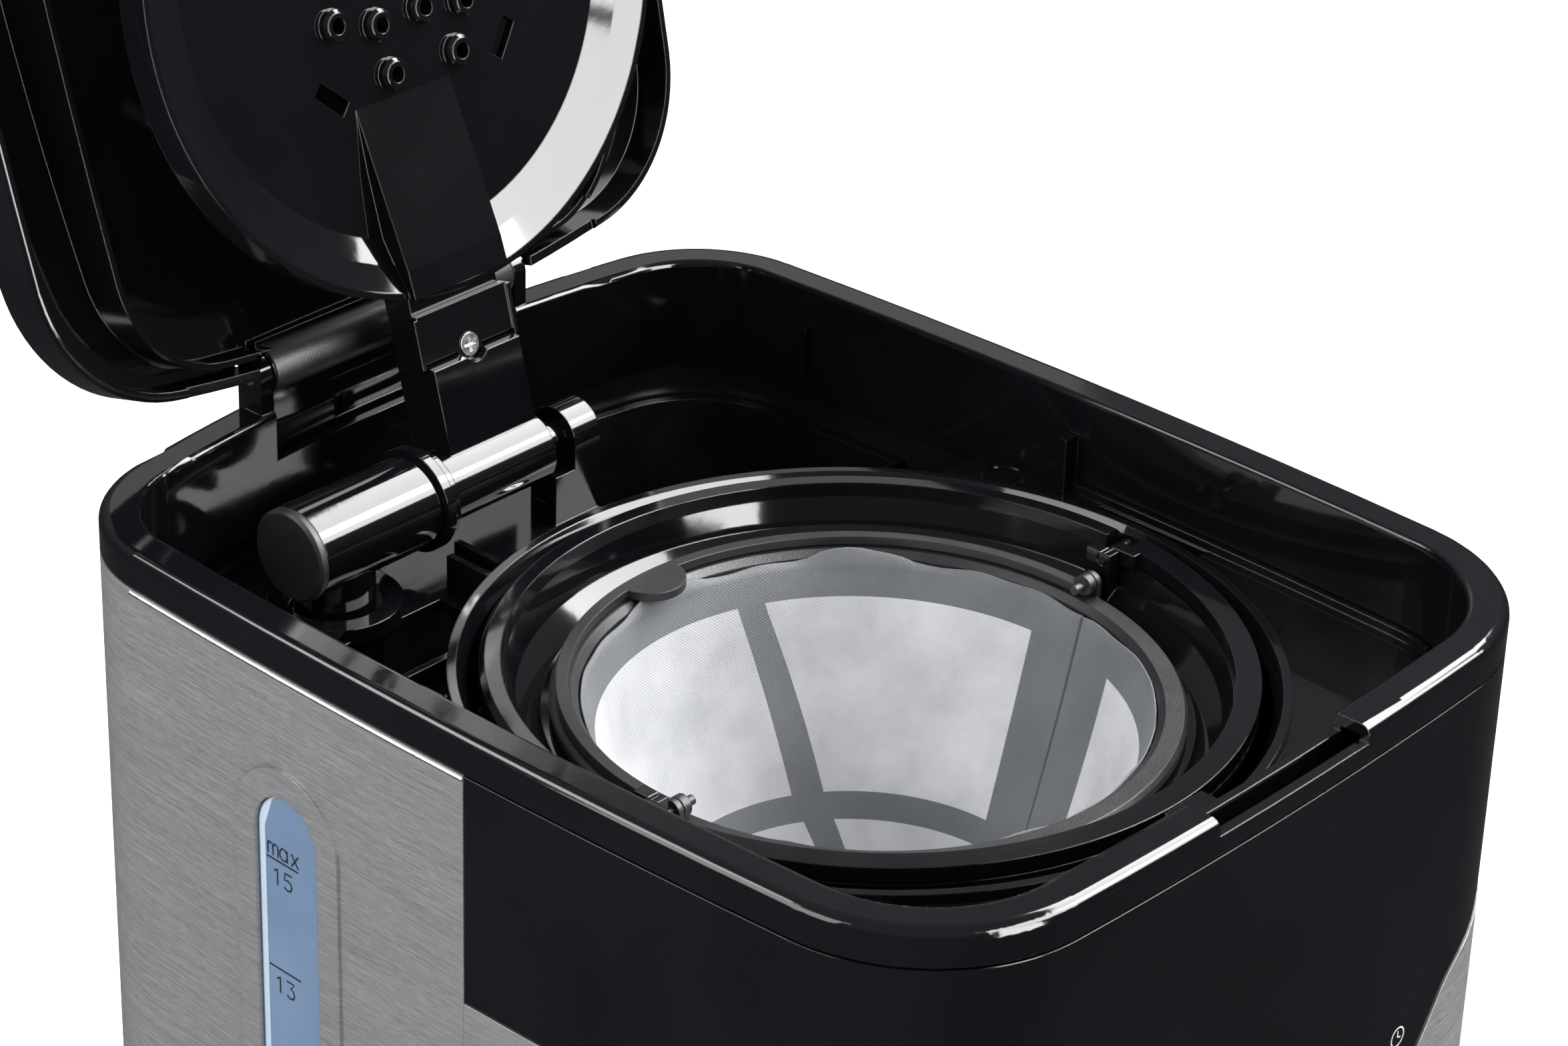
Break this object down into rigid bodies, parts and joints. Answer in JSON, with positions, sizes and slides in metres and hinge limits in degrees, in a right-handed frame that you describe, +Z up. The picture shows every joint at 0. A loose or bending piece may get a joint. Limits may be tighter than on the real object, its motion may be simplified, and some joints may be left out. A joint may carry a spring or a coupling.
{
  "type": "drip coffee maker",
  "caption": "Drip coffee maker with a hinged lid and swinging spray arm, lift-out filter basket, rear water tank, hot plate and glass carafe, shown with the lid open.",
  "frame": {"origin": "on the table, at the centre of the body's plan (widest point left to right, and the middle of the body's front to back arcs)", "axes": "+Z up, -Y towards the front, +X to the right as seen from the front"},
  "size_m": [0.2095, 0.3268, 0.5826],
  "materials": {
    "black_plastic": "semi-gloss moulded",
    "gloss_black": "high gloss",
    "satin_black": "satin, fine grain",
    "dark_plastic": "matt moulded",
    "rubber": "matt",
    "screw_steel": "zinc plated",
    "plate_coating": "non-stick coating",
    "silicone": "translucent white silicone",
    "aluminium": "drawn tube",
    "brushed_steel": "brushed along the panel",
    "window_blue": "frosted blue window",
    "screen": "display",
    "circuit_green": "solder mask",
    "tank_plastic": "moulded tank",
    "filter_mesh": "fine woven nylon mesh",
    "clear_glass": "clear"
  },
  "bodies": {
    "housing": {"base_shell": "black_plastic", "base_cover": "dark_plastic", "rubber_feet": "rubber", "cord_gland": "rubber", "base_screws": "screw_steel", "warming_plate": "plate_coating", "plate_gasket": "silicone", "heating_element": "aluminium", "thermostats": "screw_steel", "thermostat_bracket": "screw_steel", "tower_shell": "black_plastic", "steel_panel_left": "brushed_steel", "steel_panel_right": "brushed_steel", "level_window": "window_blue", "front_shell": "gloss_black", "steel_wing_left": "brushed_steel", "steel_wing_right": "brushed_steel", "display_window": "gloss_black", "display_module": "screen", "control_board": "circuit_green", "tact_switches": "dark_plastic", "head_underside": "dark_plastic", "rim_collar": "gloss_black", "inner_deck": "gloss_black", "deck_screws": "screw_steel", "brew_chamber": "dark_plastic", "water_tank": "tank_plastic", "cold_hose": "silicone", "hot_riser": "silicone", "check_valve": "tank_plastic", "hot_elbow": "gloss_black", "elbow_cap": "dark_plastic", "barrel_seal": "gloss_black"},
    "lid": {"lid_shell": "gloss_black", "lid_hinge_pins": "screw_steel"},
    "spray_arm": {"spray_arm": "gloss_black", "spray_disc": "gloss_black", "arm_cover": "gloss_black", "arm_screw": "screw_steel"},
    "basket": {"filter_basket": "gloss_black", "filter_ring": "satin_black", "filter_mesh": "filter_mesh", "filter_cage": "satin_black"},
    "basket_handle": {"basket_handle": "gloss_black"},
    "valve": {"valve_plunger": "dark_plastic", "valve_seal": "silicone", "valve_spring": "screw_steel"},
    "filter_handle": {"filter_handle": "satin_black"},
    "carafe": {"carafe_glass": "clear_glass", "carafe_band": "brushed_steel", "carafe_handle": "black_plastic", "carafe_lid": "black_plastic"},
    "button_1": {"button_1": "gloss_black"},
    "button_2": {"button_2": "gloss_black"},
    "button_3": {"button_3": "gloss_black"},
    "button_4": {"button_4": "gloss_black"}
  },
  "joints": [
    {"name": "lid_hinge", "type": "hinge", "parent": "housing", "child": "lid", "pos_m": [0, 0.129, 0.338], "axis": [-1, 0, 0], "range_deg": [-105, 0]},
    {"name": "spray_arm_hinge", "type": "hinge", "parent": "housing", "child": "spray_arm", "pos_m": [0, 0.095, 0.314], "axis": [-1, 0, 0], "range_deg": [-105, 0]},
    {"name": "basket_lift", "type": "slide", "parent": "housing", "child": "basket", "axis": [0, 0, 1], "range_m": [0, 0.1]},
    {"name": "basket_handle_hinge", "type": "hinge", "parent": "basket", "child": "basket_handle", "pos_m": [0, -0.024, 0.3097], "axis": [-1, 0, 0], "range_deg": [0, 90]},
    {"name": "filter_handle_hinge", "type": "hinge", "parent": "basket", "child": "filter_handle", "pos_m": [0, -0.024, 0.3057], "axis": [1, 0, 0], "range_deg": [0, 90]},
    {"name": "drip_valve_slide", "type": "slide", "parent": "basket", "child": "valve", "axis": [0, 0, 1], "range_m": [0, 0.003], "stiffness_N_per_m": 300, "springref_m": -0.002, "deforming": ["valve_spring"]},
    {"name": "carafe_slide", "type": "slide", "parent": "housing", "child": "carafe", "axis": [0, -1, 0], "range_m": [0, 0.2]},
    {"name": "button_1_press", "type": "slide", "parent": "housing", "child": "button_1", "axis": [0, 1, 0], "range_m": [0, 0.0009], "stiffness_N_per_m": 600, "springref_m": -0.0005},
    {"name": "button_2_press", "type": "slide", "parent": "housing", "child": "button_2", "axis": [0, 1, 0], "range_m": [0, 0.0009], "stiffness_N_per_m": 600, "springref_m": -0.0005},
    {"name": "button_3_press", "type": "slide", "parent": "housing", "child": "button_3", "axis": [0, 1, 0], "range_m": [0, 0.0009], "stiffness_N_per_m": 600, "springref_m": -0.0005},
    {"name": "button_4_press", "type": "slide", "parent": "housing", "child": "button_4", "axis": [0, 1, 0], "range_m": [0, 0.0009], "stiffness_N_per_m": 600, "springref_m": -0.0005}
  ],
  "couplings": [
    {"joint": "spray_arm_hinge", "follows": "lid_hinge", "ratio": 1}
  ]
}
